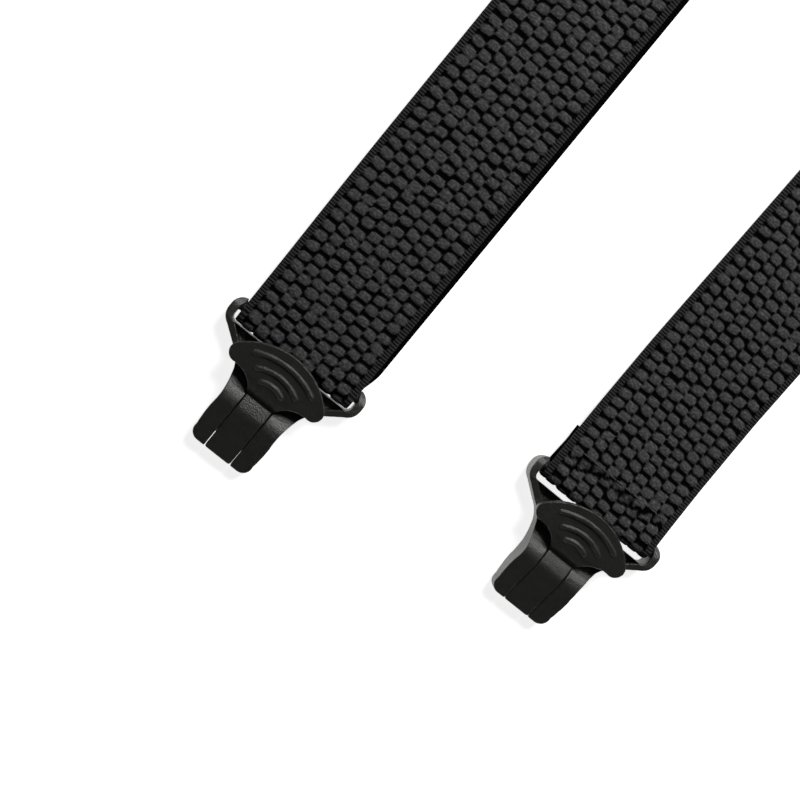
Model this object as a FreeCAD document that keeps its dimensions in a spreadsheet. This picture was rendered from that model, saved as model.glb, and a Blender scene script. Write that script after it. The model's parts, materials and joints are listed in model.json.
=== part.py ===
import FreeCAD, Part
import math
import os
from FreeCAD import Placement, Rotation, Vector

# Crossed-back clip-on suspenders, laid flat and folded at the shoulders.
# Millimetres, +Z up, the clips point to -Y, the origin is on the floor under the middle.
# Each web runs from a rear clip, through the back crossing, over a shoulder fold and a
# half twist, down to the front clip on its own side, and back under itself to an adjuster.

os.makedirs("parts", exist_ok=True)
doc = FreeCAD.newDocument("suspenders")

DIMENSIONS = [
    ("web_width", 38.0, "elastic web, 1.5 inch"),
    ("web_thickness", 1.7, "elastic web"),
    ("bar_radius", 1.5, "bar of the clip that the web goes round"),
    ("bar_play", 0.15, "between the bar and the web"),
    ("cross_angle", 20.0, "each web from the long axis, degrees"),
    ("cross_place", 140.31, "the crossing, from the middle of the laid-out object"),
    ("run_spacing", 89.0, "front run to the rear leg beside it"),
    ("rear_length", 400.0, "crossing to the bar of a rear clip"),
    ("end_stagger", 18.0, "front clips lie this much further down"),
    ("fold_radius", 1.05, "middle of the web at the shoulder fold"),
    ("twist_start", 62.0, "half twist, from the fold"),
    ("twist_length", 115.0, "half twist"),
    ("adjuster_station", 279.0, "adjuster, from the bar of the front clip"),
    ("return_shift", 3.4, "the doubled layer lies to the side by this"),
    ("patch_side", 64.0, "back patch"),
    ("patch_thickness", 1.2, "back patch"),
    ("patch_corner", 9.0, "back patch"),
    ("ear_half", 22.3, "half the clip's width at its ears"),
    ("slot_half", 20.0, "half the slot for the web"),
    ("ear_end", 2.4, "ears beyond the bar"),
    ("slot_edge", 4.6, "bar to the slot's other edge"),
    ("clip_reach", 35.6, "bar to the tip of the prongs"),
    ("tongue_half", 4.2, "half the tongue's width"),
    ("tongue_gap", 0.2, "tongue to each prong"),
    ("bed_height", 1.6, "toothed bed under the tongue"),
    ("bed_end", 31.0, "bar to the end of the bed"),
    ("recess_height", 3.0, "plate between the legs"),
    ("pin_place", 16.0, "bar to the lever's pin"),
    ("pin_height", 4.6, "lever's pin above the floor"),
    ("pin_radius", 1.0, "lever's pin"),
    ("pin_half", 9.6, "half the lever's pin"),
    ("fan_radius", 19.8, "top edge of the thumb plate"),
    ("fan_apex", 1.4, "bar to the thumb plate's top edge"),
    ("lobe_radius", 2.8, "ends of the thumb plate"),
    ("rib_width", 1.0, "raised ribs on the thumb plate"),
    ("rib_height", 0.5, "raised ribs on the thumb plate"),
    ("wire_radius", 0.4, "torsion spring"),
    ("coil_radius", 1.5, "torsion spring, middle of the wire"),
    ("wall_half", 20.8, "half the adjuster's width"),
    ("wall_thickness", 1.2, "adjuster's cheeks"),
    ("grip_half", 19.2, "half the grip's width"),
    ("grip_pin_radius", 0.8, "grip's pin"),
    ("grip_pin_place", 6.0, "grip's pin, from the adjuster's middle"),
    ("grip_pin_height", 8.2, "grip's pin above the floor"),
]

sheet = doc.addObject("Spreadsheet::Sheet", "dimensions")
for row, (alias, number, note) in enumerate(DIMENSIONS, start=1):
    sheet.set(f"A{row}", alias)
    sheet.set(f"B{row}", str(number))
    sheet.setAlias(f"B{row}", alias)
    sheet.set(f"C{row}", note)
doc.recompute()


def size(alias):
    return float(sheet.get(alias))


# ---------------------------------------------------------------- derived sizes
WIDTH = size("web_width")
THICK = size("web_thickness")
HALF = WIDTH / 2
ANGLE = math.radians(size("cross_angle"))
SIN, COS = math.sin(ANGLE), math.cos(ANGLE)
BAR_Z = THICK + size("bar_play") + size("bar_radius")
LOOP_MID = size("bar_radius") + size("bar_play") + THICK / 2
FLAT_Z = THICK / 2
RUN_Z = BAR_Z + LOOP_MID
FOLD_R = size("fold_radius")
FOLD_DISTANCE = size("run_spacing") / math.sin(2 * ANGLE)
REAR = size("rear_length")
FRONT = REAR + size("end_stagger") + FOLD_DISTANCE * math.cos(2 * ANGLE)
CROSS_Y = size("cross_place")

LOWER_WEB_Z = size("patch_thickness") + 0.1 + FLAT_Z
UPPER_WEB_Z = LOWER_WEB_Z + THICK + 0.1
TOP_PATCH_Z = UPPER_WEB_Z + FLAT_Z + 0.1

UP = Vector(0, 0, 1)
nodes = []


def keep(shape_object, label):
    """Names a finished sub-part and lists it for export."""
    shape_object.Label = label
    nodes.append(shape_object)
    return shape_object


def solid_feature(label, shapes, place=None):
    """A sub-part whose shape comes from Part's own functions."""
    feature = doc.addObject("Part::Feature", label)
    feature.Shape = shapes[0] if len(shapes) == 1 else Part.makeCompound(shapes)
    if place is not None:
        feature.Placement = place
    return keep(feature, label)


# ---------------------------------------------------------------- webs
def section(centre, across, normal):
    """The web's cross-section: across is half its width, normal half its thickness."""
    a, n = across, normal * (THICK / 2)
    corners = [centre + a + n, centre - a + n, centre - a - n, centre + a - n]
    return Part.makePolygon(corners + corners[:1])


def stretch(sections):
    """One solid stretch of web through a row of cross-sections."""
    return Part.makeLoft(sections, True, True)


def side_vector(x, y, z, side):
    """Left-hand coordinates, mirrored for the right-hand web."""
    return Vector(x * side, y, z)


def leg_section(along, height, side):
    """A flat section of the web, measured from the crossing towards the shoulder."""
    centre = side_vector(-along * SIN, CROSS_Y + along * COS, height, side)
    return section(centre, side_vector(COS, SIN, 0, side) * HALF, UP)


def fold_section(turn, side):
    """A section on the shoulder fold, cut along the crease, which lies across."""
    reach = FOLD_DISTANCE * COS
    centre = side_vector(
        -FOLD_DISTANCE * SIN - FOLD_R * turn * math.tan(ANGLE),
        CROSS_Y + reach + FOLD_R * math.sin(turn),
        FLAT_Z + FOLD_R * (1 - math.cos(turn)),
        side,
    )
    return section(
        centre,
        Vector(HALF / COS, 0, 0),
        Vector(0, -math.sin(turn), math.cos(turn)),
    )


def run_centre(along, height, side, shift=0.0):
    """A point on the front run, measured from the fold towards the front clip."""
    x = -FOLD_DISTANCE * SIN - FOLD_R * math.pi * math.tan(ANGLE) - along * SIN
    y = CROSS_Y + FOLD_DISTANCE * COS - along * COS
    return side_vector(x + shift * COS, y - shift * SIN, height, side)


def run_section(along, height, side, twist=math.pi, shift=0.0):
    """A section of the front run: twist 0 is face down, pi is face up."""
    across = side_vector(COS, -SIN, 0, side) * math.cos(twist) + UP * math.sin(twist)
    flat = side_vector(COS, -SIN, 0, side)
    normal = UP * -math.cos(twist) + flat * math.sin(twist)
    return section(run_centre(along, height, side, shift), across * HALF, normal)


def loop_sections(bar, towards_tip, across, steps=8):
    """Sections round a clip's bar, from above it to below it."""
    found = []
    for step in range(steps + 1):
        turn = math.pi * step / steps
        out = towards_tip * math.sin(turn) + UP * math.cos(turn)
        found.append(section(bar + out * LOOP_MID, across * HALF, out))
    return found


def smooth(value):
    value = min(max(value, 0.0), 1.0)
    return value * value * (3 - 2 * value)


def crossing_height(along, upper):
    """The web's height near the crossing: the upper web rides over the lower one."""
    flat_to, down_by, top = (58, 95, UPPER_WEB_Z) if upper else (34, 60, LOWER_WEB_Z)
    fall = smooth((abs(along) - flat_to) / (down_by - flat_to))
    return top + (FLAT_Z - top) * fall


LEAVE_FLOOR = size("twist_start") + size("twist_length") + 5.0
REACH_RUN = LEAVE_FLOOR + 45.0


def web_solids(side, upper):
    """All stretches of one web, from its rear clip to its front clip."""
    # rear loop: the web's end is turned round the bar and lies under it
    out = side_vector(SIN, -COS, 0, side)
    across = side_vector(COS, SIN, 0, side)
    rear_bar = side_vector(REAR * SIN, CROSS_Y - REAR * COS, BAR_Z, side)
    flap = [
        section(rear_bar - out * back + UP * (height - BAR_Z), across * HALF, UP)
        for back, height in ((9.0, FLAT_Z + 1.6), (14.0, FLAT_Z + 0.85))
    ]
    solids = [
        stretch(loop_sections(rear_bar, out, across)),
        stretch([loop_sections(rear_bar, out, across)[-1]] + flap),
    ]
    # down from the bar to the floor
    falls = [(0, RUN_Z), (9, 4.35), (22, 2.6), (45, FLAT_Z)]
    solids.append(stretch([leg_section(s - REAR, z, side) for s, z in falls]))
    # flat leg, over the crossing, and on to the shoulder
    edge = 95.0 if upper else 60.0
    inner = 58.0 if upper else 34.0
    solids.append(stretch([leg_section(s, FLAT_Z, side) for s in (45 - REAR, -edge)]))
    ramp = [edge - (edge - inner) * part / 4 for part in range(5)]
    for sign in (-1, 1):
        solids.append(
            stretch(
                [leg_section(sign * s, crossing_height(s, upper), side) for s in ramp]
            )
        )
    top = crossing_height(0, upper)
    solids.append(stretch([leg_section(s, top, side) for s in (-inner, inner)]))
    solids.append(stretch([leg_section(edge, FLAT_Z, side), fold_section(0, side)]))
    # shoulder fold, then the front run lying on the upper part
    turns = [math.pi * step / 6 for step in range(7)]
    solids.append(stretch([fold_section(turn, side) for turn in turns]))
    over = FLAT_Z + 2 * FOLD_R
    start = size("twist_start")
    first = run_section(start, over, side, 0.0)
    solids.append(stretch([fold_section(math.pi, side), first]))
    # half twist, standing on its lower edge half-way
    steps = 8
    twist = []
    for step in range(steps + 1):
        part = step / steps
        turn = math.pi * part
        height = over + (FLAT_Z - over) * smooth(part) + HALF * math.sin(turn)
        along = start + size("twist_length") * part
        twist.append(run_section(along, height, side, turn))
    solids += [stretch(twist[step : step + 2]) for step in range(steps)]
    # up to the level of the clip's bar, and straight to the bar
    rise = [run_section(start + size("twist_length"), FLAT_Z, side)]
    for step in range(6):
        part = step / 5
        height = FLAT_Z + (RUN_Z - FLAT_Z) * smooth(part)
        along = LEAVE_FLOOR + (REACH_RUN - LEAVE_FLOOR) * part
        rise.append(run_section(along, height, side))
    solids.append(stretch(rise))
    straight = [run_section(along, RUN_Z, side) for along in (REACH_RUN, FRONT)]
    solids.append(stretch(straight))
    bar = run_centre(FRONT, BAR_Z, side)
    along_run = side_vector(-SIN, -COS, 0, side)
    solids.append(stretch(loop_sections(bar, along_run, side_vector(COS, -SIN, 0, side))))
    return solids


TAB_START = 27.0  # the sewn tab begins this far before the adjuster's middle


def return_shift(back):
    """How far the doubled layer lies to the side, by the distance from the bar."""
    out = smooth(back / 16)
    home = smooth((back - 150) / (size("adjuster_station") - TAB_START - 160))
    return size("return_shift") * (out - home)


def return_solids(side):
    """The doubled layer under the front run, from the bar to the sewn tab."""
    end = size("adjuster_station") - TAB_START
    stations = [0, 5, 10, 16, 83, 150, 185, 220, end]
    sections = [
        run_section(FRONT - back, FLAT_Z, side, shift=return_shift(back))
        for back in stations
    ]
    return [stretch(sections[:4]), stretch(sections[3:6]), stretch(sections[5:])]


# ---------------------------------------------------------------- sketches and solids
def plane_sketch(name, plane, edges):
    """A closed outline, in the floor plane or in the clip's side plane."""
    sketch = doc.addObject("Sketcher::SketchObject", name)
    if plane == "side":
        sketch.Placement = Placement(Vector(), Rotation(Vector(1, 1, 1), 120))
    sketch.addGeometry(edges, False)
    return sketch


def outline(start, steps):
    """Edges from steps of (x, y) for a line or (mid x, mid y, x, y) for an arc."""
    edges = []
    last = Vector(*start, 0)
    for step in steps:
        end = Vector(*step[-2:], 0)
        if len(step) == 2:
            edges.append(Part.LineSegment(last, end))
        else:
            edges.append(Part.Arc(last, Vector(*step[:2], 0), end))
        last = end
    if last.distanceToPoint(Vector(*start, 0)) > 1e-6:
        edges.append(Part.LineSegment(last, Vector(*start, 0)))
    return edges


def mirrored(start, steps):
    """An outline of the half with x > 0, closed by its mirror image."""
    edges = outline(start, steps)[: len(steps)]
    other = []
    for edge in edges:
        twin = edge.copy()
        twin.mirror(Vector(0, 0, 0), Vector(0, 1, 0))
        other.append(twin)
    return edges + other


def extruded(name, sketch, low, high):
    """A sketch extruded along its own normal, from low to high."""
    solid = doc.addObject("Part::Extrusion", name)
    solid.Base = sketch
    solid.DirMode = "Normal"
    solid.Solid = True
    solid.setExpression("LengthFwd", high)
    solid.setExpression("LengthRev", low)
    return solid


def box(name, x0, x1, y0, y1, z0, z1):
    """A block between expressions or plain numbers."""
    block = doc.addObject("Part::Box", name)
    block.setExpression("Length", f"({x1}) - ({x0})")
    block.setExpression("Width", f"({y1}) - ({y0})")
    block.setExpression("Height", f"({z1}) - ({z0})")
    block.setExpression("Placement.Base.x", f"{x0}")
    block.setExpression("Placement.Base.y", f"{y0}")
    block.setExpression("Placement.Base.z", f"{z0}")
    return block


def cross_rod(name, radius, half, place_y, place_z):
    """A rod across the clip, along X."""
    rod = doc.addObject("Part::Cylinder", name)
    rod.setExpression("Radius", radius)
    rod.setExpression("Height", f"2 * ({half})")
    rod.Placement.Rotation = Rotation(Vector(0, 1, 0), 90)
    rod.setExpression("Placement.Base.x", f"-({half})")
    rod.setExpression("Placement.Base.y", place_y)
    rod.setExpression("Placement.Base.z", place_z)
    return rod


def joined(name, shapes):
    fuse = doc.addObject("Part::MultiFuse", name)
    fuse.Shapes = shapes
    return fuse


def shared(name, shapes):
    common = doc.addObject("Part::MultiCommon", name)
    common.Shapes = shapes
    return common


def without(name, base, tools):
    cut = doc.addObject("Part::Cut", name)
    cut.Base = base
    cut.Tool = joined(name + "_tools", tools) if len(tools) > 1 else tools[0]
    return cut


D = "dimensions."
LIP = size("ear_end")
REACH = size("clip_reach")
EDGE = -size("slot_edge")
PIN_Y = -size("pin_place")
BAR_HEIGHT = f"{D}web_thickness + {D}bar_play + {D}bar_radius"


# ---------------------------------------------------------------- clip frame
def frame_outline():
    """Plan of the clip: ears, legs closing in under the thumb plate, and prongs."""
    ear = size("ear_half")
    corner = 3.4
    return mirrored(
        (0, LIP),
        [
            (ear - corner, LIP),
            (ear - 0.29 * corner, LIP - 0.29 * corner, ear, LIP - corner),
            (ear, -2.2),
            (ear - 0.6, -4.4, ear - 2.4, -6.1),
            (15.2, -9.6),
            (12.3, -12.2, 10.7, -15.6),
            (9.75, -19.8, 9.8, -25.0),
            (9.8, -28.6, 9.5, -32.0),
            (8.9, -34.6, 6.9, -REACH),
            (0, -REACH),
        ],
    )


def hump(forward_from, forward_to):
    """Top line shared by the prongs and the tongue, over the hump to the tip."""
    return [
        (-18.9, 7.55, -20.9, 7.95),
        (-22.4, 7.9, -24.0, 7.45),
        (-30.2, 5.7, forward_from, forward_to),
    ]


TIP_TOP = 4.4


def frame_profile():
    """Side view of the clip frame."""
    steps = [
        (1.05, 5.2, -1.2, 5.9),
        (EDGE, 5.9),
        (-8.7, 5.2),
        (-14.4, 5.2),
        (-16.9, 6.4),
        *hump(-REACH, TIP_TOP),
        (-REACH, 1.3),
        (-REACH + 0.4, 0.4, -REACH + 1.4, 0.0),
        (-1.2, 0.0),
        (0.9, 1.0, LIP, BAR_Z),
    ]
    return outline((LIP, BAR_Z), steps)


def recess_outline():
    """The sunken plate between the legs."""
    return mirrored(
        (0, EDGE - 0.001),
        [(18.6, EDGE - 0.001), (12.3, -9.6), (8.2, -13.4), (0, -13.4)],
    )


def slot_outline():
    """The opening for the web, with round corners by the ears."""
    half = size("slot_half")
    corner = 1.6
    return mirrored(
        (0, EDGE),
        [
            (half - corner, EDGE),
            (half - 0.29 * corner, EDGE + 0.29 * corner, half, EDGE + corner),
            (half, -0.8),
            (half - 0.3, 0.4, half - 0.7, 1.2),
            (half - 0.7, 10),
            (0, 10),
        ],
    )


def clip_frame(name, place):
    plan = extruded(
        name + "_plan",
        plane_sketch(name + "_plan_sketch", "floor", frame_outline()),
        "0",
        "12",
    )
    profile = extruded(
        name + "_profile",
        plane_sketch(name + "_profile_sketch", "side", frame_profile()),
        f"{D}ear_half + 1",
        f"{D}ear_half + 1",
    )
    blank = shared(name + "_blank", [plan, profile])
    recess = extruded(
        name + "_recess",
        plane_sketch(name + "_recess_sketch", "floor", recess_outline()),
        f"-{D}recess_height",
        "12",
    )
    slot = extruded(
        name + "_slot",
        plane_sketch(name + "_slot_sketch", "floor", slot_outline()),
        "1",
        "12",
    )
    window_half = f"{D}tongue_half + {D}tongue_gap"
    window = box(
        name + "_window",
        f"-({window_half})",
        window_half,
        f"-{D}clip_reach - 1",
        "-13.3",
        f"{D}bed_height",
        "12",
    )
    mouth = box(
        name + "_mouth",
        f"-({window_half})",
        window_half,
        f"-{D}clip_reach - 1",
        f"-{D}bed_end",
        "-1",
        "12",
    )
    bore = cross_rod(
        name + "_bore",
        f"{D}pin_radius + 0.02",
        f"{D}pin_half + 0.1",
        f"-{D}pin_place",
        f"{D}pin_height",
    )
    body = without(name + "_body", blank, [recess, slot, window, mouth, bore])
    bar = cross_rod(
        name + "_bar", f"{D}bar_radius", f"{D}slot_half + 0.5", "0", BAR_HEIGHT
    )
    teeth = []
    for number, place_y in enumerate((-22.0, -24.6, -27.2, -29.8)):
        ridge = outline(
            (place_y - 0.7, size("bed_height") - 0.2),
            [(place_y, size("bed_height") + 0.5), (place_y + 0.7, 1.4)],
        )
        teeth.append(
            extruded(
                f"{name}_tooth_{number}",
                plane_sketch(f"{name}_tooth_sketch_{number}", "side", ridge),
                f"{D}tongue_half",
                f"{D}tongue_half",
            )
        )
    frame = joined(name, [body, bar] + teeth)
    frame.Placement = place
    return keep(frame, name)


# ---------------------------------------------------------------- clip lever
def fan_outline():
    """Plan of the thumb plate: a fan with round lobes that sweeps in to the neck."""
    big, lobe = size("fan_radius"), size("lobe_radius")
    apex = -size("fan_apex")
    centre_y = apex - big
    lean = math.radians(46.9)
    lobe_x = (big - lobe) * math.sin(lean)
    lobe_y = centre_y + (big - lobe) * math.cos(lean)
    half_way = lean / 2
    return mirrored(
        (0, apex),
        [
            (
                big * math.sin(half_way),
                centre_y + big * math.cos(half_way),
                big * math.sin(lean),
                centre_y + big * math.cos(lean),
            ),
            (lobe_x + lobe, lobe_y - 0.35, lobe_x - 0.7, lobe_y - lobe + 0.09),
            (6.5, -14.1, 4.2, -17.6),
            (0, -17.6),
        ],
    )


def fan_profile(lift, depth):
    """Side view of the thumb plate: lift raises its top, depth is its thickness."""
    return outline(
        (0.6, 12.2 + lift),
        [
            (-12.4, 10.0 + lift),
            (-15.3, 8.7 + lift, -17.0, 7.2),
            (-17.0, 6.9),
            (-12.4, 10.0 + lift - depth),
            (0.6, 12.2 + lift - depth),
        ],
    )


def tongue_outline():
    """Plan of the neck and the tongue, with a softly cornered tip."""
    half = size("tongue_half")
    return mirrored(
        (0, -12.6),
        [
            (half, -12.6),
            (half, -24.0),
            (half, -REACH + 0.7),
            (half - 0.2, -REACH + 0.2, half - 0.7, -REACH),
            (0, -REACH),
        ],
    )


def tongue_profile():
    """Side view of the neck round its pin, and of the tongue in front of it."""
    return outline(
        (-12.9, 8.6),
        [
            (-15.2, 7.9),
            (-16.9, 7.05),
            *hump(-REACH, TIP_TOP),
            (-REACH, 2.8),
            (-REACH + 0.6, 2.4),
            (-16.6, 2.4),
            (-14.4, 2.75, -13.7, 4.4),
            (-12.9, 7.6),
        ],
    )


def rib_outline(half_chord, apex, radius):
    """A curved rib with round ends."""
    half = size("rib_width") / 2
    centre_y = apex - radius
    lean = math.asin(half_chord / radius)

    def point(r, angle):
        return (r * math.sin(angle), centre_y + r * math.cos(angle))

    outer, inner = radius + half, radius - half
    tip = point(radius, lean + half / radius)
    return mirrored(
        point(outer, 0),
        [
            point(outer, lean / 2) + point(outer, lean),
            tip + point(inner, lean),
            point(inner, lean / 2) + point(inner, 0),
        ],
    )


RIBS = ((9.5, -4.75, 20.8), (6.4, -8.2, 12.7), (3.3, -11.3, 6.5))


def clip_lever(name, place):
    fan_plan = extruded(
        name + "_fan_plan",
        plane_sketch(name + "_fan_sketch", "floor", fan_outline()),
        "0",
        "15",
    )
    half = f"{D}ear_half"
    fan_side = extruded(
        name + "_fan_side",
        plane_sketch(name + "_fan_profile", "side", fan_profile(0.0, 2.1)),
        half,
        half,
    )
    fan = shared(name + "_fan", [fan_plan, fan_side])
    tongue_plan = extruded(
        name + "_tongue_plan",
        plane_sketch(name + "_tongue_sketch", "floor", tongue_outline()),
        "0",
        "15",
    )
    tongue_side = extruded(
        name + "_tongue_side",
        plane_sketch(name + "_tongue_profile", "side", tongue_profile()),
        half,
        half,
    )
    tongue = shared(name + "_tongue", [tongue_plan, tongue_side])
    ribs = []
    for number, rib in enumerate(RIBS):
        plan = extruded(
            f"{name}_rib_plan_{number}",
            plane_sketch(f"{name}_rib_sketch_{number}", "floor", rib_outline(*rib)),
            "0",
            "15",
        )
        side = extruded(
            f"{name}_rib_side_{number}",
            plane_sketch(
                f"{name}_rib_profile_{number}",
                "side",
                fan_profile(size("rib_height"), size("rib_height") + 0.4),
            ),
            half,
            half,
        )
        ribs.append(shared(f"{name}_rib_{number}", [plan, side]))
    blank = joined(name + "_blank", [fan, tongue] + ribs)
    bore = cross_rod(
        name + "_bore",
        f"{D}pin_radius + 0.05",
        f"{D}tongue_half + 1",
        f"-{D}pin_place",
        f"{D}pin_height",
    )
    pocket_half = f"{D}coil_radius + {D}wire_radius + 0.4"
    pocket = box(
        name + "_pocket",
        f"-({pocket_half})",
        pocket_half,
        f"-{D}pin_place - ({pocket_half})",
        "-12.0",
        "0",
        "6.7",
    )
    lever = without(name, blank, [bore, pocket])
    lever.Placement = place
    return keep(lever, name)


def clip_pin(name, place):
    pin = cross_rod(
        name + "_rod",
        f"{D}pin_radius",
        f"{D}pin_half",
        f"-{D}pin_place",
        f"{D}pin_height",
    )
    ends = doc.addObject("Part::Chamfer", name)
    ends.Base = pin
    doc.recompute()
    ends.Edges = [
        (number + 1, 0.2, 0.2)
        for number, edge in enumerate(pin.Shape.Edges)
        if edge.Closed
    ]
    ends.Placement = place
    return keep(ends, name)


def clip_spring(name, place):
    """Coils round the pin, with one leg under the thumb plate and one on the frame."""
    wire, coil = size("wire_radius"), size("coil_radius")
    middle = Vector(0, PIN_Y, size("pin_height"))
    shapes = []
    for turn in range(4):
        across = Vector((turn - 1.5) * (2 * wire + 0.15), 0, 0)
        shapes.append(Part.makeTorus(coil, wire, middle + across, Vector(1, 0, 0)))
    for across, start_z, end_z in (
        (shapes[0].CenterOfMass.x, coil, 6.6),
        (shapes[3].CenterOfMass.x, -coil, size("recess_height") + 3 * wire),
    ):
        start = Vector(across, PIN_Y, size("pin_height") + start_z)
        end = Vector(across, PIN_Y + 6.5, end_z)
        leg = Part.makeCylinder(wire, (end - start).Length, start, end - start)
        shapes.append(leg)
    spring = shapes[0].fuse(shapes[1:])
    return solid_feature(name, [spring], place)


# ---------------------------------------------------------------- adjuster
def adjuster_frame(name, place):
    wall = f"{D}wall_half - {D}wall_thickness"
    cheek = outline(
        (-11.0, 1.8),
        [(-12.7, 2.4, -13.0, 4.0), (-12.0, 7.4, -9.0, 8.6)]
        + [(4.5, 9.6), (8.0, 9.7, 9.4, 7.6), (11.0, 4.6), (10.6, 3.7), (-9.2, 3.7)]
        + [(-9.6, 1.8)],
    )
    sides = []
    for word, low, high in (
        ("left", f"{D}wall_half", f"-({wall})"),
        ("right", f"-({wall})", f"{D}wall_half"),
    ):
        sides.append(
            extruded(
                f"{name}_{word}",
                plane_sketch(f"{name}_{word}_sketch", "side", cheek),
                low,
                high,
            )
        )
    half = f"{D}wall_half"
    plate = box(name + "_plate", f"-{half}", half, "-6.5", "10.4", "3.7", "4.8")
    bar = box(name + "_bar", f"-{half}", half, "-12.2", "-9.8", "1.85", "2.9")
    blank = joined(name + "_blank", sides + [plate, bar])
    bore = cross_rod(
        name + "_bore",
        f"{D}grip_pin_radius + 0.02",
        f"{D}wall_half + 1",
        f"{D}grip_pin_place",
        f"{D}grip_pin_height",
    )
    frame = without(name, blank, [bore])
    frame.Placement = place
    return keep(frame, name)


def body_plane(body, role):
    return next(item for item in body.Origin.OriginFeatures if item.Role == role)


def adjuster_grip(name, place):
    """A cam lever: barrel round the pin, biting edge below it, and a thumb plate."""
    body = doc.addObject("PartDesign::Body", name)
    sketch = body.newObject("Sketcher::SketchObject", name + "_sketch")
    sketch.AttachmentSupport = [(body_plane(body, "YZ_Plane"), "")]
    sketch.MapMode = "FlatFace"
    pin_y, pin_z = size("grip_pin_place"), size("grip_pin_height")
    barrel = 1.35
    sketch.addGeometry(
        outline(
            (pin_y, pin_z + barrel),
            [
                (pin_y + barrel, pin_z, pin_y, pin_z - barrel),
                (pin_y - 1.5, pin_z - barrel),
                (pin_y - 2.2, pin_z - 0.2),
                (-10.6, pin_z - 0.2),
                (-12.6, pin_z + 0.5, -10.6, pin_z + 1.1),
            ],
        ),
        False,
    )
    sketch.addGeometry(
        Part.Circle(
            Vector(pin_y, pin_z, 0), Vector(0, 0, 1), size("grip_pin_radius") + 0.05
        ),
        False,
    )
    pad = body.newObject("PartDesign::Pad", name + "_pad")
    pad.Profile = sketch
    pad.SideType = "Symmetric"
    pad.setExpression("Length", f"2 * {D}grip_half")
    body.Placement = place
    return keep(body, name)


def adjuster_pin(name, place):
    pin = cross_rod(
        name + "_rod",
        f"{D}grip_pin_radius",
        f"{D}wall_half + 0.4",
        f"{D}grip_pin_place",
        f"{D}grip_pin_height",
    )
    ends = doc.addObject("Part::Chamfer", name)
    ends.Base = pin
    doc.recompute()
    ends.Edges = [
        (number + 1, 0.2, 0.2)
        for number, edge in enumerate(pin.Shape.Edges)
        if edge.Closed
    ]
    ends.Placement = place
    return keep(ends, name)


TAB_BAR_Y = -11.0  # middle of the bar that holds the sewn tab
TAB_BAR_Z = 2.375
TAB_RADIUS = TAB_BAR_Z - FLAT_Z


def strap_tab(name, place):
    """The web's end, turned up round the adjuster's bar and sewn to itself."""

    def tab_section(y, z, normal):
        return section(Vector(0, y, z), Vector(HALF, 0, 0), normal)

    high = TAB_BAR_Z + TAB_RADIUS
    turn_y = TAB_BAR_Y + 1.1
    below = [tab_section(y, FLAT_Z, UP) for y in (-TAB_START, turn_y)]
    above = [tab_section(y, high, UP) for y in (turn_y, TAB_BAR_Y - 12.0)]
    bend = []
    for step in range(9):
        turn = math.pi * step / 8
        out = Vector(0, math.sin(turn), -math.cos(turn))
        centre = Vector(0, turn_y, TAB_BAR_Z) + out * TAB_RADIUS
        bend.append(tab_section(centre.y, centre.z, out))
    solids = [stretch(below), stretch(bend), stretch(above)]
    return solid_feature(name, solids, place)


def stitch(at, along, length, across=0.55, height=0.3):
    """One short thread lying on a surface."""
    thread = Part.makeBox(length, across, height, Vector(-length / 2, -across / 2, 0))
    thread.rotate(Vector(), UP, math.degrees(math.atan2(along.y, along.x)))
    thread.translate(at)
    return thread


def stitch_row(start, end, pitch=3.0, length=2.2):
    """Threads in a line from start to end."""
    run = end - start
    count = max(int(run.Length / pitch), 1)
    return [
        stitch(start + run * ((number + 0.5) / count), run, length)
        for number in range(count)
    ]


# ---------------------------------------------------------------- back patch
def cross_patch(name, low):
    body = doc.addObject("PartDesign::Body", name)
    sketch = body.newObject("Sketcher::SketchObject", name + "_sketch")
    sketch.AttachmentSupport = [(body_plane(body, "XY_Plane"), "")]
    sketch.MapMode = "FlatFace"
    half, corner = size("patch_side") / 2, size("patch_corner")
    cut = corner * (1 - math.sqrt(0.5))
    sketch.addGeometry(
        mirrored(
            (0, half),
            [
                (half - corner, half),
                (half - cut, half - cut, half, half - corner),
                (half, corner - half),
                (half - cut, cut - half, half - corner, -half),
                (0, -half),
            ],
        ),
        False,
    )
    pad = body.newObject("PartDesign::Pad", name + "_pad")
    pad.Profile = sketch
    pad.setExpression("Length", f"{D}patch_thickness")
    body.Placement = Placement(Vector(0, CROSS_Y, low), Rotation())
    return keep(body, name)


def patch_stitching(name):
    inset = size("patch_side") / 2 - 4.0
    level = TOP_PATCH_Z + size("patch_thickness") + 0.01
    corners = [(-inset, -inset), (inset, -inset), (inset, inset), (-inset, inset)]
    points = [Vector(x, CROSS_Y + y, level) for x, y in corners]
    threads = []
    for number, start in enumerate(points):
        end = points[(number + 1) % 4]
        trim = (end - start).normalize() * 5.0
        threads += stitch_row(start + trim, end - trim)
    return solid_feature(name, threads)


# ---------------------------------------------------------------- build
def clip_place(bar, side):
    """Clip axes: Y up the web, X across it, origin on the floor under the bar."""
    turn = Rotation(UP, -math.degrees(ANGLE) * side)
    return Placement(Vector(bar.x, bar.y, 0), turn)


def build_clip(where, place):
    clip_frame(f"{where}_clip_frame", place)
    clip_lever(f"{where}_clip_lever", place)
    clip_pin(f"{where}_hinge_pin", place)
    clip_spring(f"{where}_torsion_spring", place)


def build_adjuster(word, side):
    at = run_centre(FRONT - size("adjuster_station"), 0, side)
    place = clip_place(at, side)
    adjuster_frame(f"{word}_adjuster_frame", place)
    adjuster_grip(f"{word}_adjuster_grip", place)
    adjuster_pin(f"{word}_adjuster_pin", place)
    strap_tab(f"{word}_strap_tab", place)
    level = TAB_BAR_Z + TAB_RADIUS + FLAT_Z + 0.005
    row = TAB_BAR_Y - 7.0
    threads = [
        stitch(Vector(x, row, level), Vector(1, 0, 0), 2.2, height=0.12)
        for x in range(-15, 16, 3)
    ]
    solid_feature(f"{word}_tab_stitches", threads, place)


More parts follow.
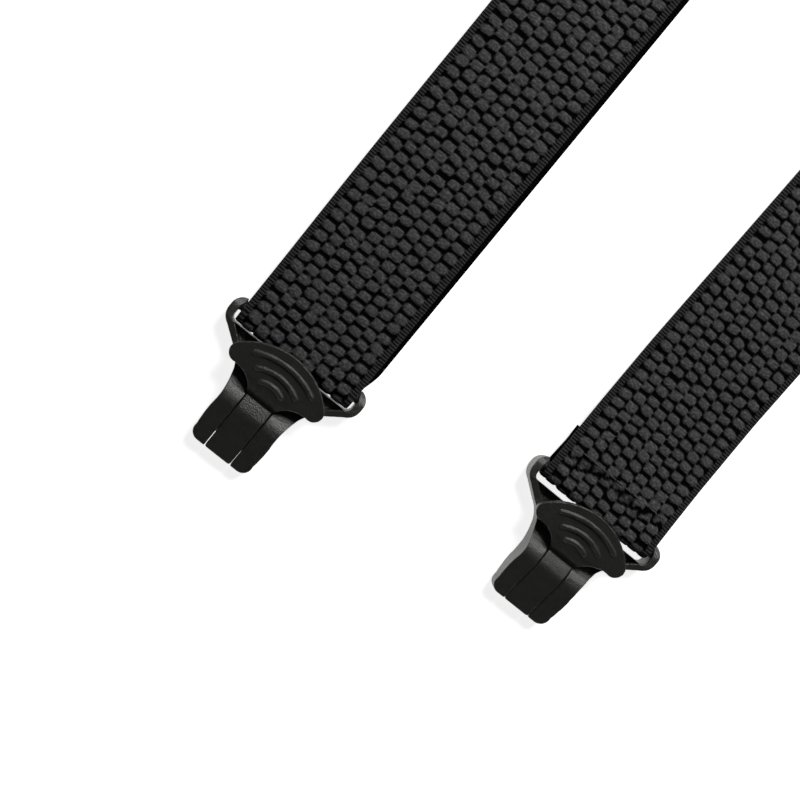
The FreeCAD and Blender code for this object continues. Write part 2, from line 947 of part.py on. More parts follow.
def rear_stitches(name, place):
    """The row that closes the sewn loop of a rear end."""
    threads = []
    for number in range(11):
        at = Vector(-15.0 + 3.0 * number, 9.0, 4.35 + FLAT_Z + 0.06)
        threads.append(stitch(at, Vector(1, 0, 0), 2.2))
    solid_feature(name, threads, place)


# the side is 1 where the front clip lies at -X, and -1 where it lies at +X
for word, side, upper in (("left", 1, False), ("right", -1, True)):
    solid_feature(f"{word}_strap", web_solids(side, upper))
    solid_feature(f"{word}_strap_return", return_solids(side))
    build_adjuster(word, side)
    build_clip(f"front_{word}", clip_place(run_centre(FRONT, 0, side), side))
    rear_bar = side_vector(-REAR * SIN, CROSS_Y - REAR * COS, 0, side)
    build_clip(f"rear_{word}", clip_place(rear_bar, side))
    rear_stitches(f"rear_{word}_stitches", clip_place(rear_bar, side))
cross_patch("cross_patch_bottom", 0.0)
cross_patch("cross_patch_top", TOP_PATCH_Z)
patch_stitching("patch_stitching")

doc.recompute()

# ---------------------------------------------------------------- checks and export
for item in doc.Objects:
    if "Invalid" in item.State or "Error" in item.State:
        raise RuntimeError(f"{item.Name} is not sound: {item.State}")
whole = FreeCAD.BoundBox()
for node in nodes:
    shape = node.Shape
    if shape.isNull() or not shape.isValid() or shape.Volume <= 0:
        raise RuntimeError(f"{node.Label} has no valid shape")
    whole.add(shape.BoundBox)
    shape.exportStep(f"parts/{node.Label}.step")
print(f"{len(nodes)} nodes, box {whole.XMin:.2f} {whole.YMin:.2f} {whole.ZMin:.2f} to")
print(f"{whole.XMax:.2f} {whole.YMax:.2f} {whole.ZMax:.2f}")
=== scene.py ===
import json
import math

import bmesh
import bpy
import numpy as np
from mathutils import Matrix, Vector


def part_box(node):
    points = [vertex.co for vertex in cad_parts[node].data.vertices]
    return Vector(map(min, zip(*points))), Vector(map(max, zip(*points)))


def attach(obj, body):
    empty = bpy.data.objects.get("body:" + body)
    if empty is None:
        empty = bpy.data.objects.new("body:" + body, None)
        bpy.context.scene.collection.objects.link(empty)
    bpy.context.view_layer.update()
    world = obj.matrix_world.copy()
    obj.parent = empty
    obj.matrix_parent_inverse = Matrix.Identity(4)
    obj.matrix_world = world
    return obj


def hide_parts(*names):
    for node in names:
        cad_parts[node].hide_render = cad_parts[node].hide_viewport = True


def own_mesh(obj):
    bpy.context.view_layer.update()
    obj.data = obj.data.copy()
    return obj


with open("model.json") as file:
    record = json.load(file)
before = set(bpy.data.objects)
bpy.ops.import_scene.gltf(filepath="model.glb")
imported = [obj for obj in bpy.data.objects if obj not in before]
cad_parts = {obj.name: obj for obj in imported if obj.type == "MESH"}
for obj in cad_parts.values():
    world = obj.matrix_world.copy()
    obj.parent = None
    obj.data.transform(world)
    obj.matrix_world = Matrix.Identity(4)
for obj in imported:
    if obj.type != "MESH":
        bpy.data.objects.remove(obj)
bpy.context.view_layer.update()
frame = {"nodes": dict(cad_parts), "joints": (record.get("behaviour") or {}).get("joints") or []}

# Crossed-back clip-on suspenders laid flat: pebble-woven elastic webs, moulded clips with
# a fan-shaped thumb plate, slide adjusters and a leather back patch. Metres, +Z up.

MM = 0.001
JOINTS = {joint["name"]: joint for joint in frame["joints"]}

# ---------------------------------------------------------------- sizes of the webs
WIDTH = 38.0 * MM
THICK = 1.7 * MM
HALF = WIDTH / 2
FLAT_Z = THICK / 2
FOLD_R = 1.05 * MM
TWIST_START = 62.0 * MM
TWIST_LENGTH = 115.0 * MM
RISE_START = 182.0 * MM
RISE_LENGTH = 45.0 * MM
RETURN_SHIFT = 1.6 * MM
TAB_START = 27.0 * MM
FLAP_LENGTH = 14.0 * MM
FRONT_ROLL_SLACK = 1.25 * MM
LEG_BOW = -3.0 * MM
BOW_GROWS = 150 * MM
BOW_FADES = 170 * MM
RUN_BOW = 0.45 * MM
# heights of a rear leg at distances from its bar, both in mm, after the bar's own height
LEG_SLOPE = ((9, 4.35), (22, 2.6))
LEG_DOWN = 45

# ---------------------------------------------------------------- sizes of the hard parts
LEVER_PIN_RADIUS = 1.0 * MM
LEVER_PIN_HALF = 9.6 * MM
LEVER_PIN_Y = -16.0 * MM
LEVER_PIN_Z = 4.6 * MM
COIL_RADIUS = 1.5 * MM
COIL_TURNS = 3.5
COIL_HALF = 1.4 * MM
WIRE_RADIUS = 0.38 * MM
SPRING_LEG = 6.3 * MM
GRIP_PIN_RADIUS = 0.8 * MM
GRIP_PIN_HALF = 21.2 * MM
GRIP_PIN_Y = 6.0 * MM
GRIP_PIN_Z = 8.2 * MM

# ---------------------------------------------------------------- places from the frame


def joint_place(name):
    """The joint's point and the piece's own X axis, which runs across the web."""
    joint = JOINTS[name]
    across = -Vector(joint["axis"])
    return Vector(joint["pos_m"]), across


LEFT_BAR, LEFT_ACROSS = joint_place("front_left_clip_swing")
REAR_BAR, _ = joint_place("rear_right_clip_swing")
COS, SIN = LEFT_ACROSS.x, -LEFT_ACROSS.y
BAR_Z = LEFT_BAR.z
LOOP_MID = BAR_Z - FLAT_Z
RUN_Z = BAR_Z + LOOP_MID
patch_low, patch_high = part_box("cross_patch_top")
CROSS_Y = (patch_low[1] + patch_high[1]) / 2
FOLD_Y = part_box("left_strap")[1][1] - FOLD_R - FLAT_Z
FOLD_S = (FOLD_Y - CROSS_Y) / COS
REAR = REAR_BAR.x / SIN
ROLL_LENGTH = math.pi * FOLD_R / COS
FRONT = (FOLD_Y - LEFT_BAR.y) / COS
GRIP_PIN, _ = joint_place("left_grip_lift")
ADJUSTER_BACK = (GRIP_PIN.y - LEFT_BAR.y) / COS - GRIP_PIN_Y
LAYER_GAP = 0.1 * MM
UPPER_WEB_Z = patch_low[2] - LAYER_GAP - FLAT_Z
LOWER_WEB_Z = UPPER_WEB_Z - THICK - LAYER_GAP


def linked(name, data):
    """A new object in the scene."""
    piece = bpy.data.objects.new(name, data)
    bpy.context.scene.collection.objects.link(piece)
    return piece


def smooth(value):
    """An even step from 0 to 1."""
    value = np.clip(value, 0.0, 1.0)
    return value * value * (3 - 2 * value)


def leg_bow(s):
    """Share of the sideways bow in a leg that lies free on the floor: 0 at both its ends."""
    grow = np.clip(s / BOW_GROWS, 0, 1)
    return grow * (1 - smooth((s - BOW_GROWS) / BOW_FADES))


# ---------------------------------------------------------------- weave of the web
COLUMNS = 9
SELVAGE = 2.1 * MM
COLUMN_PITCH = (WIDTH - 2 * SELVAGE) / COLUMNS
ROW_PITCH = 3.4 * MM
PEBBLE_LENGTH = 1.44 * MM
PEBBLE_WIDTH = 1.98 * MM
BASE_LEVEL = 0.12 * MM
PEBBLE_RISE = 0.73 * MM
# the back face has lower pebbles and, through the crown, a darker painted shade
BACK_RELIEF_AND_SHADE = 0.62
PEBBLE_DOME = 0.42
ROW_WANDER = 0.24 * MM
COLUMN_WANDER = 0.14 * MM
LEAN = 0.12
SELVAGE_LEVEL = 0.5 * MM
SELVAGE_STEP = 0.5 * MM
SELVAGE_ROUND = 0.22 * MM
STEP = ROW_PITCH / 7
ROLL_STEP = 0.35 * MM
FOLD_STEP = 0.3 * MM
TOP_POINTS = 67
BACK_POINTS = 31
JITTER_ROWS = 601

draw = np.random.default_rng(11)
jitter = draw.uniform(-1.0, 1.0, (2, JITTER_ROWS, COLUMNS, 5))


def weave(s, v, face, soften=None):
    """Height above the web's middle, crown (0 in a gap to 1 on a pebble) and selvage mask.

    Face 0 is the front and 1 the back. soften(s, v) gives a factor for the crown and a
    moved s where the web is pressed or sewn.
    """
    if soften is not None:
        soften, s = soften(s, v)
    inner = v + HALF - SELVAGE
    column = np.clip(np.floor(inner / COLUMN_PITCH), 0, COLUMNS - 1).astype(int)
    across = inner - (column + 0.5) * COLUMN_PITCH
    shift = 0.5 * (column % 2)
    place = s / ROW_PITCH + shift
    row = np.floor(place).astype(int)
    along = (place - row - 0.5) * ROW_PITCH
    rough = jitter[face, row % JITTER_ROWS, column]
    along = along + ROW_WANDER * rough[..., 0] + LEAN * across * rough[..., 1]
    across = across + COLUMN_WANDER * rough[..., 2]
    length = PEBBLE_LENGTH * (1 + 0.1 * rough[..., 3])
    width = PEBBLE_WIDTH * (1 + 0.05 * rough[..., 1])
    reach = (np.abs(along) / length) ** 3.0 + (np.abs(across) / width) ** 4.0
    crown = np.clip(1 - reach, 0.0, 1.0) ** PEBBLE_DOME
    crown = crown * (0.9 + 0.1 * rough[..., 4])
    if soften is not None:
        crown = crown * soften
    # the back face is flatter and painted darker as shade
    if face == 1:
        crown = crown * BACK_RELIEF_AND_SHADE
    height = BASE_LEVEL + PEBBLE_RISE * crown
    edge = smooth((np.abs(v) - (HALF - SELVAGE - SELVAGE_STEP / 2)) / SELVAGE_STEP)
    rounded = np.clip((np.abs(v) - HALF + SELVAGE_STEP) / SELVAGE_STEP, 0, 1)
    band = SELVAGE_LEVEL - SELVAGE_ROUND * rounded**2
    height = height * (1 - edge) + band * edge
    # painted shade: the selvage's crown value sets its colour, and on the back face it is painted
    # near black
    selvage_shade_level = 0.55 if face == 0 else 0.2
    # the crown returned here also sets the colour, and a low crown is painted dark as shade
    return height, crown * (1 - edge) + selvage_shade_level * edge, edge


def ribbon_mesh(name, stations, place, soften=None):
    """A closed web. place(s, v, h) gives points: along it, across it and above its middle."""
    top_v = np.linspace(-HALF, HALF, TOP_POINTS)
    back_v = np.linspace(HALF, -HALF, BACK_POINTS)
    rows = len(stations)
    grids, crowns, edges, widths = [], [], [], []
    for face, line in enumerate((top_v, back_v)):
        s, v = np.meshgrid(stations, line, indexing="ij")
        height, crown, edge = weave(s, v, face, soften)
        sign = 1 if face == 0 else -1
        grids.append(place(s, v, sign * height))
        crowns.append(crown)
        edges.append(edge)
        widths.append(v)
    points = np.concatenate(grids, axis=1)
    ring = points.shape[1]
    index = np.arange(rows * ring).reshape(rows, ring)
    a = index[:-1]
    b = np.roll(index, -1, axis=1)[:-1]
    c = np.roll(index, -1, axis=1)[1:]
    d = index[1:]
    quads = np.stack([a, b, c, d], axis=-1).reshape(-1, 4)
    mesh = bpy.data.meshes.new(name)
    faces = quads.tolist() + [index[0][::-1].tolist(), index[-1].tolist()]
    mesh.from_pydata(points.reshape(-1, 3).tolist(), [], faces)
    masks = {
        "crown": np.concatenate(crowns, axis=1),
        "selvage": np.concatenate(edges, axis=1),
    }
    for word, values in masks.items():
        layer = mesh.attributes.new(word, "FLOAT", "POINT")
        layer.data.foreach_set("value", values.reshape(-1).astype(np.float32))
    crossways = np.concatenate(widths, axis=1) / MM
    lengthways = np.repeat(np.asarray(stations)[:, None] / MM, ring, axis=1)
    per_point = np.stack([crossways, lengthways], axis=-1).reshape(-1, 2)
    loops = np.empty(len(mesh.loops), dtype=np.int64)
    mesh.loops.foreach_get("vertex_index", loops)
    layer = mesh.uv_layers.new(name="web")
    layer.data.foreach_set("uv", per_point[loops].reshape(-1).astype(np.float32))
    mesh.shade_smooth()
    return linked(name, mesh)


def points_at(x, y, z):
    """One array of points from three of coordinates."""
    return np.stack(np.broadcast_arrays(x, y, z), axis=-1)


class Web:
    """The line of one web. s is 0 above the rear bar and grows towards the front clip."""

    def __init__(self, side, upper):
        self.side = side
        self.upper = upper
        self.fold = REAR + FOLD_S
        self.run_start = self.fold + ROLL_LENGTH
        self.end = self.run_start + FRONT

    def crossing_height(self, along):
        """Level of the web's middle near the crossing, where it climbs to the patch."""
        flat_to, down_by, top = (34, 60, LOWER_WEB_Z)
        if self.upper:
            flat_to, down_by, top = (58, 95, UPPER_WEB_Z)
        fall = smooth((np.abs(along) / MM - flat_to) / (down_by - flat_to))
        return top + (FLAT_Z - top) * fall

    def leg_height(self, s):
        """Level of the leg's middle, from the rear bar down to the floor and over the crossing."""
        falls = ((0, RUN_Z / MM), *LEG_SLOPE, (LEG_DOWN, FLAT_Z / MM))
        near = np.zeros_like(s)
        for lag in (-2, -1, 0, 1, 2):
            at = np.abs(s / MM + lag)
            near += np.interp(at, [f[0] for f in falls], [f[1] for f in falls]) / 5
        return np.maximum(near * MM, self.crossing_height(s - REAR))

    def strip(self, s, v, h):
        """The leg and the shoulder: a flat strip that turns back over the fold."""
        v = v + LEG_BOW * leg_bow(s)
        along = s - REAR
        x = -along * SIN + v * COS
        y = CROSS_Y + along * COS + v * SIN
        reach = y - FOLD_Y
        roll = np.clip(reach / FOLD_R, 0, math.pi)
        past = np.maximum(reach - math.pi * FOLD_R, 0)
        before = np.minimum(y, FOLD_Y)
        y = before + FOLD_R * np.sin(roll) - past - h * np.sin(roll)
        lift = FOLD_R * (1 - np.cos(roll))
        z = self.leg_height(s) * (reach <= 0) + FLAT_Z * (reach > 0)
        z = z + lift + h * np.cos(roll)
        return points_at(x * self.side, y, z)

    def run_frame(self, t):
        """Height and twist of the front run, t from the fold."""
        over = FLAT_Z + 2 * FOLD_R
        part = np.clip((t - TWIST_START) / TWIST_LENGTH, 0, 1)
        eased = part - np.sin(2 * math.pi * part) * 0.08
        turn = math.pi * eased
        base = over + (FLAT_Z - over) * smooth(part)
        rise = smooth((t - RISE_START) / RISE_LENGTH)
        base = base + (RUN_Z - FLAT_Z) * rise
        return base + HALF * np.sin(turn), turn

    def run(self, s, v, h):
        """The front run: it twists over once, then climbs to the front clip's bar."""
        t = s - self.run_start
        v = v + RUN_BOW * smooth((FRONT - t) / (60 * MM)) * smooth(t / FRONT * 2 - 0.6)
        height, turn = self.run_frame(t)
        flat = v * np.cos(turn) + h * np.sin(turn)
        x = -FOLD_S * SIN - ROLL_LENGTH * SIN - t * SIN + flat * COS
        y = FOLD_Y - t * COS - flat * SIN
        z = height + v * np.sin(turn) - h * np.cos(turn)
        return points_at(x * self.side, y, z)

    def place(self, s, v, h):
        """Points of the web, from the flap under the rear bar to the front loop."""
        strip = self.strip(s, v, h)
        run = self.run(s, v, h)
        late = (s > self.run_start + 20 * MM)[..., None]
        points = np.where(late, run, strip)
        points = np.where((s < 0)[..., None], self.rear_loop(s, v, h), points)
        return np.where((s > self.end)[..., None], self.front_loop(s, v, h), points)

    def rear_loop(self, s, v, h):
        """Round the rear bar, then back under the leg as a short flap."""
        past = -s
        turn = np.clip(past / LOOP_MID, 0, math.pi)
        flap = np.maximum(past - math.pi * LOOP_MID, 0)
        levels = np.interp(flap / MM, (0, 9, 14), (0, 1.55, 0.8)) * MM
        radius = LOOP_MID + h
        along = -REAR - radius * np.sin(turn) + flap
        z = BAR_Z + radius * np.cos(turn) + levels
        x = -along * SIN + v * COS
        y = CROSS_Y + along * COS + v * SIN
        return points_at(x * self.side, y, z)

    def front_loop(self, s, v, h):
        """Round the front bar, to where the doubled layer starts."""
        turn = np.clip((s - self.end) / LOOP_MID, 0, math.pi)
        t = FRONT + (LOOP_MID + FRONT_ROLL_SLACK + h) * np.sin(turn)
        z = BAR_Z + (LOOP_MID + h) * np.cos(turn)
        x = -FOLD_S * SIN - ROLL_LENGTH * SIN - t * SIN - v * COS
        y = FOLD_Y - t * COS + v * SIN
        return points_at(x * self.side, y, z)

    def doubled(self, s, v, h):
        """The layer under the front run, face down; s runs back from the bar."""
        out = smooth(s / (9 * MM))
        room = ADJUSTER_BACK - TAB_START - 160 * MM
        home = smooth((s - 150 * MM) / room)
        shift = RETURN_SHIFT * (out - home) + v
        t = FRONT - s
        x = -FOLD_S * SIN - ROLL_LENGTH * SIN - t * SIN + shift * COS
        y = FOLD_Y - t * COS - shift * SIN
        return points_at(x * self.side, y, FLAT_Z - h + 0 * s)


def stations_between(low, high, fine=STEP):
    """Even stations, no further apart than the step."""
    count = max(int(math.ceil((high - low) / fine)), 2)
    return np.linspace(low, high, count + 1)


def joined_stations(*stretches):
    """The stations of several stretches; an end that two of them share is kept once."""
    stations = np.unique(np.concatenate(stretches))
    keep = np.concatenate([[True], np.diff(stations) > 1e-7])
    return stations[keep]


def mended(piece, side):
    """A mirrored web is inside out, so its faces are turned."""
    if side < 0:
        piece.data.flip_normals()
    return piece


# ---------------------------------------------------------------- clips and hard parts


def floor_axes(joint_name):
    """A joint's axes: Y up the web, X across it, origin on the floor under the joint."""
    at, across = joint_place(joint_name)
    up = Vector((0, 0, 1))
    ahead = up.cross(across)
    matrix = Matrix((across, ahead, up)).transposed().to_4x4()
    matrix.translation = Vector((at.x, at.y, 0.0))
    return matrix


def deselect():
    if bpy.context.object and bpy.context.object.mode != "OBJECT":
        bpy.ops.object.mode_set(mode="OBJECT")
    bpy.ops.object.select_all(action="DESELECT")


def make_active(piece):
    deselect()
    piece.select_set(True)
    bpy.context.view_layer.objects.active = piece


def apply_modifier(piece, kind, **settings):
    make_active(piece)
    modifier = piece.modifiers.new(kind.lower(), kind)
    for word, value in settings.items():
        setattr(modifier, word, value)
    bpy.ops.object.modifier_apply(modifier=modifier.name)


def moulding(name, node, matrix, voxel, passes, keep=1.0):
    """A part with soft moulded edges, made from a node's shape in its own axes."""
    shape = bmesh.new()
    shape.from_mesh(frame["nodes"][node].data)
    bmesh.ops.transform(shape, matrix=matrix.inverted(), verts=shape.verts)
    bmesh.ops.remove_doubles(shape, verts=shape.verts, dist=0.002 * MM)
    mesh = bpy.data.meshes.new(name)
    shape.to_mesh(mesh)
    shape.free()
    piece = linked(name, mesh)
    apply_modifier(piece, "REMESH", mode="VOXEL", voxel_size=voxel)
    apply_modifier(piece, "SMOOTH", factor=0.5, iterations=passes)
    if keep < 1.0:
        apply_modifier(piece, "DECIMATE", ratio=keep)
    piece.data.shade_smooth()
    piece.data.materials.clear()
    return piece


def placed_copy(master, name, matrix):
    """A copy with its own mesh, put in place in its mesh."""
    mesh = master.data.copy()
    mesh.transform(matrix)
    return linked(name, mesh)


def tube_mesh(name, path, radius, sides=8):
    """A closed round tube along a list of points."""
    points = [Vector(p) for p in path]
    shape = bmesh.new()
    rings = []
    side = None
    for number, point in enumerate(points):
        ahead = points[min(number + 1, len(points) - 1)]
        behind = points[max(number - 1, 0)]
        line = (ahead - behind).normalized()
        if side is None:
            side = line.orthogonal().normalized()
        side = (side - line * side.dot(line)).normalized()
        other = line.cross(side)
        ring = []
        for turn in range(sides):
            angle = 2 * math.pi * turn / sides
            out = side * math.cos(angle) + other * math.sin(angle)
            ring.append(shape.verts.new(point + out * radius))
        rings.append(ring)
    for first, second in zip(rings, rings[1:]):
        for turn in range(sides):
            following = (turn + 1) % sides
            shape.faces.new(
                (first[turn], first[following], second[following], second[turn])
            )
    shape.faces.new(rings[0][::-1])
    shape.faces.new(rings[-1])
    bmesh.ops.recalc_face_normals(shape, faces=shape.faces)
    mesh = bpy.data.meshes.new(name)
    shape.to_mesh(mesh)
    shape.free()
    mesh.shade_smooth()
    return mesh


def spring_wires():
    """Coils with a leg on the frame, and the leg that moves with the thumb plate."""
    steps = 84
    winding = []
    for step in range(steps + 1):
        part = step / steps
        angle = math.pi / 2 - 2 * math.pi * COIL_TURNS * part
        y = LEVER_PIN_Y + COIL_RADIUS * math.cos(angle)
        z = LEVER_PIN_Z + COIL_RADIUS * math.sin(angle)
        winding.append(((2 * part - 1) * COIL_HALF, y, z))
    leg_y = LEVER_PIN_Y + SPRING_LEG
    fixed = winding[3:] + [(COIL_HALF, leg_y, 4.1 * MM)]
    moving = [(-COIL_HALF, leg_y, 6.5 * MM)] + winding[:5]
    coils = tube_mesh("spring_coils", fixed, WIRE_RADIUS)
    return coils, tube_mesh("spring_leg", moving, WIRE_RADIUS)


def rod(name, radius, half, y, z):
    """A pin across a clip or an adjuster, with broken edges."""
    deselect()
    bpy.ops.mesh.primitive_cylinder_add(
        vertices=40,
        radius=radius,
        depth=2 * half,
        location=(0, y, z),
        rotation=(0, math.pi / 2, 0),
    )
    piece = bpy.context.object
    piece.name = name
    bpy.ops.object.transform_apply(location=True, rotation=True, scale=True)
    apply_modifier(piece, "BEVEL", width=0.18 * MM, segments=3)
    bpy.ops.object.shade_smooth_by_angle(angle=math.radians(40))
    return piece


# ---------------------------------------------------------------- threads and patch


def islands(node):
    """The loose solids of a node, each as an array of its points."""
    shape = bmesh.new()
    shape.from_mesh(frame["nodes"][node].data)
    bmesh.ops.remove_doubles(shape, verts=shape.verts, dist=0.001 * MM)
    seen, found = set(), []
    for start in shape.verts:
        if start in seen:
            continue
        stack, group = [start], []
        seen.add(start)
        while stack:
            vert = stack.pop()
            group.append(vert.co.copy())
            for edge in vert.link_edges:
                other = edge.other_vert(vert)
                if other not in seen:
                    seen.add(other)
                    stack.append(other)
        found.append(np.array(group))
    shape.free()
    return found


def thread_piece(name, node, radius, sink=0.0, fall=None):
    """Sewing threads: each stitch dips into the work at both ends."""
    whole = bmesh.new()
    for points in islands(node):
        middle = points.mean(axis=0)
        spread = points - middle
        spread[:, 2] = 0
        line = np.linalg.svd(spread)[2][0]
        reach = np.abs(spread @ line).max()
        level = points[:, 2].max() - radius - sink
        path = []
        for step in range(9):
            part = step / 4 - 1
            at = middle + line * reach * part * 1.12
            dip = 1.5 * radius * abs(part) ** 3
            if fall is not None:
                dip += fall(at[0], at[1])
            path.append((at[0], at[1], level - dip))
        mesh = tube_mesh("thread", path, radius, 6)
        whole.from_mesh(mesh)
        bpy.data.meshes.remove(mesh)
    mesh = bpy.data.meshes.new(name)
    whole.to_mesh(mesh)
    whole.free()
    mesh.shade_smooth()
    return linked(name, mesh)


PATCH_CORNER = 9.0 * MM
PATCH_HALF = (patch_high[0] - patch_low[0]) / 2
PATCH_CELLS = 96
STITCH_INSET = 4.0 * MM
GROOVE_DEPTH = 0.2 * MM
GROOVE_WIDTH = 0.9 * MM


def patch_edge(x, y):
    """Distance in from the patch's outline, measured from its middle."""
    inner = PATCH_HALF - PATCH_CORNER
    a, b = max(abs(x) - inner, 0.0), max(abs(y) - inner, 0.0)
    if a > 0 and b > 0:
        return PATCH_CORNER - math.hypot(a, b)
    return PATCH_HALF - max(abs(x), abs(y))


def draped(x, y):
    """How far the top patch sags where no web holds it up."""
    y = y - CROSS_Y
    over = smooth((abs(x * COS - y * SIN) / MM - 17.5) / 5.0)
    under = smooth((abs(x * COS + y * SIN) / MM - 17.5) / 5.0)
    wave = 0.06 * math.sin(x / MM * 0.21 + 1.3) * math.cos(y / MM * 0.17)
    return (over * (0.3 + 0.25 * under) + wave) * MM


def patch_piece(name, node, over_webs):
    """A leather square with round corners, sunk along its stitching."""
    low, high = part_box(node)
    middle_y = (low[1] + high[1]) / 2
    corner = PATCH_CORNER
    deselect()
    bpy.ops.mesh.primitive_grid_add(
        x_subdivisions=PATCH_CELLS,
        y_subdivisions=PATCH_CELLS,
        size=2 * PATCH_HALF,
        location=(0, middle_y, high[2]),
    )
    piece = bpy.context.object
    piece.name = name
    bpy.ops.object.transform_apply(location=True, rotation=True, scale=True)
    inner = PATCH_HALF - corner
    for vert in piece.data.vertices:
        x, y = vert.co.x, vert.co.y - middle_y
        a, b = (abs(x) - inner) / corner, (abs(y) - inner) / corner
        if a > 0 and b > 0:
            x = math.copysign(inner + corner * a * math.sqrt(1 - b * b / 2), x)
            y = math.copysign(inner + corner * b * math.sqrt(1 - a * a / 2), y)
        from_seam = (patch_edge(x, y) - STITCH_INSET) / GROOVE_WIDTH
        sunk = GROOVE_DEPTH * math.exp(-(from_seam**2))
        if over_webs:
            sunk += draped(x, y + middle_y)
        vert.co = (x, y + middle_y, vert.co.z - sunk)
    apply_modifier(piece, "SOLIDIFY", thickness=high[2] - low[2] - 0.02 * MM, offset=-1)
    apply_modifier(
        piece, "BEVEL", width=0.35 * MM, segments=3, angle_limit=math.radians(50)
    )
    piece.data.shade_smooth()
    return piece


# ---------------------------------------------------------------- materials


def new_group(name, inputs, outputs):
    group = bpy.data.node_groups.new(name, "ShaderNodeTree")
    for word, kind, value in inputs:
        socket = group.interface.new_socket(word, in_out="INPUT", socket_type=kind)
        if value is not None:
            socket.default_value = value
    for word, kind in outputs:
        group.interface.new_socket(word, in_out="OUTPUT", socket_type=kind)
    return group, group.nodes.new("NodeGroupInput"), group.nodes.new("NodeGroupOutput")


def put(tree, kind, **settings):
    """Adds a node; settings that name a socket set its value, others the node itself."""
    node = tree.nodes.new(kind)
    for word, value in settings.items():
        if hasattr(node, word):
            setattr(node, word, value)
        else:
            node.inputs[word.replace("_", " ").title()].default_value = value
    return node


def grain_group():
    """Fine moulded grain with soft blotches: a bump height and a mottle mask."""
    group, inside, out = new_group(
        "moulded_grain",
        [("Size", "NodeSocketFloat", 1.0)],
        [("Height", "NodeSocketFloat"), ("Mottle", "NodeSocketFloat")],
    )
    coords = put(group, "ShaderNodeTexCoord")
    scale = put(group, "ShaderNodeVectorMath", operation="SCALE")
    group.links.new(coords.outputs["Object"], scale.inputs[0])
    group.links.new(inside.outputs["Size"], scale.inputs["Scale"])
    fine = put(group, "ShaderNodeTexNoise", scale=2500.0, detail=4.0, roughness=0.6)
    blotch = put(group, "ShaderNodeTexNoise", scale=420.0, detail=3.0, roughness=0.5)
    for node in (fine, blotch):
        group.links.new(scale.outputs[0], node.inputs["Vector"])
    group.links.new(fine.outputs["Fac"], out.inputs["Height"])
    group.links.new(blotch.outputs["Fac"], out.inputs["Mottle"])
    return group


def dust_group():
    """Sparse pale flecks of lint."""
    group, inside, out = new_group(
        "lint",
        [("Amount", "NodeSocketFloat", 0.5)],
        [("Mask", "NodeSocketFloat")],
    )
    coords = put(group, "ShaderNodeTexCoord")
    cloud = put(group, "ShaderNodeTexNoise", scale=900.0, detail=5.0, roughness=0.7)
    group.links.new(coords.outputs["Object"], cloud.inputs["Vector"])
    pick = put(group, "ShaderNodeMapRange")
    pick.inputs["From Min"].default_value = 0.66
    pick.inputs["From Max"].default_value = 0.78
    group.links.new(cloud.outputs["Fac"], pick.inputs["Value"])
    scaled = put(group, "ShaderNodeMath", operation="MULTIPLY")
    group.links.new(pick.outputs["Result"], scaled.inputs[0])
    group.links.new(inside.outputs["Amount"], scaled.inputs[1])
    group.links.new(scaled.outputs[0], out.inputs["Mask"])
    return group


GRAIN = grain_group()
LINT = dust_group()


def grouped(tree, group, **values):
    node = tree.nodes.new("ShaderNodeGroup")
    node.node_tree = group
    for word, value in values.items():
        node.inputs[word.title()].default_value = value
    return node


def new_material(name):
    material = bpy.data.materials.new(name)
    material.use_nodes = True
    tree = material.node_tree
    return material, tree, tree.nodes["Principled BSDF"]


def mixed(tree, factor, first, second):
    """A colour between two, by a factor socket; each colour is a value or a socket."""
    mix = put(tree, "ShaderNodeMix", data_type="RGBA")
    tree.links.new(factor, mix.inputs["Factor"])
    for socket, value in ((mix.inputs[6], first), (mix.inputs[7], second)):
        if isinstance(value, tuple):
            socket.default_value = (*value, 1.0)
        else:
            tree.links.new(value, socket)
    return mix.outputs[2]


def ranged(tree, value, low, high, to_low, to_high):
    node = put(tree, "ShaderNodeMapRange")
    numbers = (low, high, to_low, to_high)
    for word, number in zip(("From Min", "From Max", "To Min", "To Max"), numbers):
        node.inputs[word].default_value = number
    tree.links.new(value, node.inputs["Value"])
    return node.outputs["Result"]


